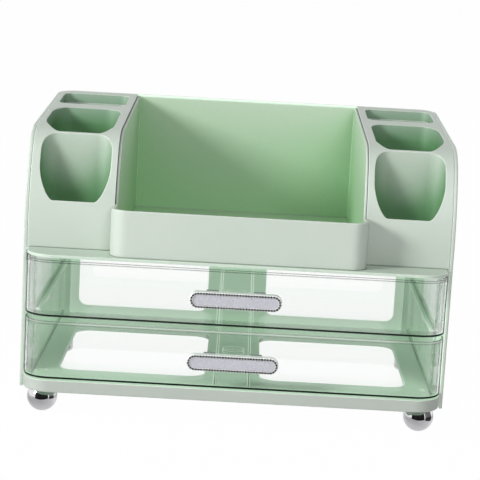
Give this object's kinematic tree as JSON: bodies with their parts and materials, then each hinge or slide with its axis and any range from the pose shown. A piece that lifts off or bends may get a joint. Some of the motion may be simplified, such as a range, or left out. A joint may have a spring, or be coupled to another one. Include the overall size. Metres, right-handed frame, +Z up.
{
  "type": "makeup organizer with drawers",
  "caption": "Countertop organizer with a low-fronted bin between curved brush holders, above clear slide-out drawers with stone-set bar handles, on ball feet",
  "frame": {"origin": "bottom centre of the bounding box, on the ground under the feet", "axes": "+X along the width to the right seen from the front, +Y to the back, +Z up"},
  "size_m": [0.35, 0.2534, 0.2449],
  "materials": {
    "case_plastic": "satin sage green",
    "clear_plastic": "clear glossy polystyrene",
    "handle_silver": "bright silver plating",
    "pad_clear": "dark adhesive pad",
    "inlay_glitter": "fine silver glitter",
    "cut_stone": "faceted clear stone with foil back",
    "foot_chrome": "polished chrome",
    "screw_steel": "plain steel"
  },
  "bodies": {
    "case": {"base_plate": "case_plastic", "deck": "case_plastic", "back_panel": "case_plastic", "right_side_panel": "case_plastic", "left_side_panel": "case_plastic", "right_brush_holder": "case_plastic", "left_brush_holder": "case_plastic", "centre_bin": "case_plastic", "right_runner": "case_plastic", "left_runner": "case_plastic", "runner_screws": "screw_steel", "front_left_foot": "foot_chrome", "front_right_foot": "foot_chrome", "rear_left_foot": "foot_chrome", "rear_right_foot": "foot_chrome", "foot_screws": "screw_steel", "holder_screws": "screw_steel", "back_screws": "screw_steel"},
    "lower_drawer_body": {"lower_drawer": "clear_plastic", "lower_handle_body": "handle_silver", "lower_handle_pads": "pad_clear", "lower_handle_inlay": "inlay_glitter", "lower_handle_stones": "cut_stone"},
    "upper_drawer_body": {"upper_drawer": "clear_plastic", "upper_handle_body": "handle_silver", "upper_handle_pads": "pad_clear", "upper_handle_inlay": "inlay_glitter", "upper_handle_stones": "cut_stone"}
  },
  "joints": [
    {"name": "lower_drawer_slide", "type": "slide", "parent": "case", "child": "lower_drawer_body", "axis": [0, -1, 0], "range_m": [0, 0.19]},
    {"name": "upper_drawer_slide", "type": "slide", "parent": "case", "child": "upper_drawer_body", "axis": [0, -1, 0], "range_m": [0, 0.19]}
  ]
}
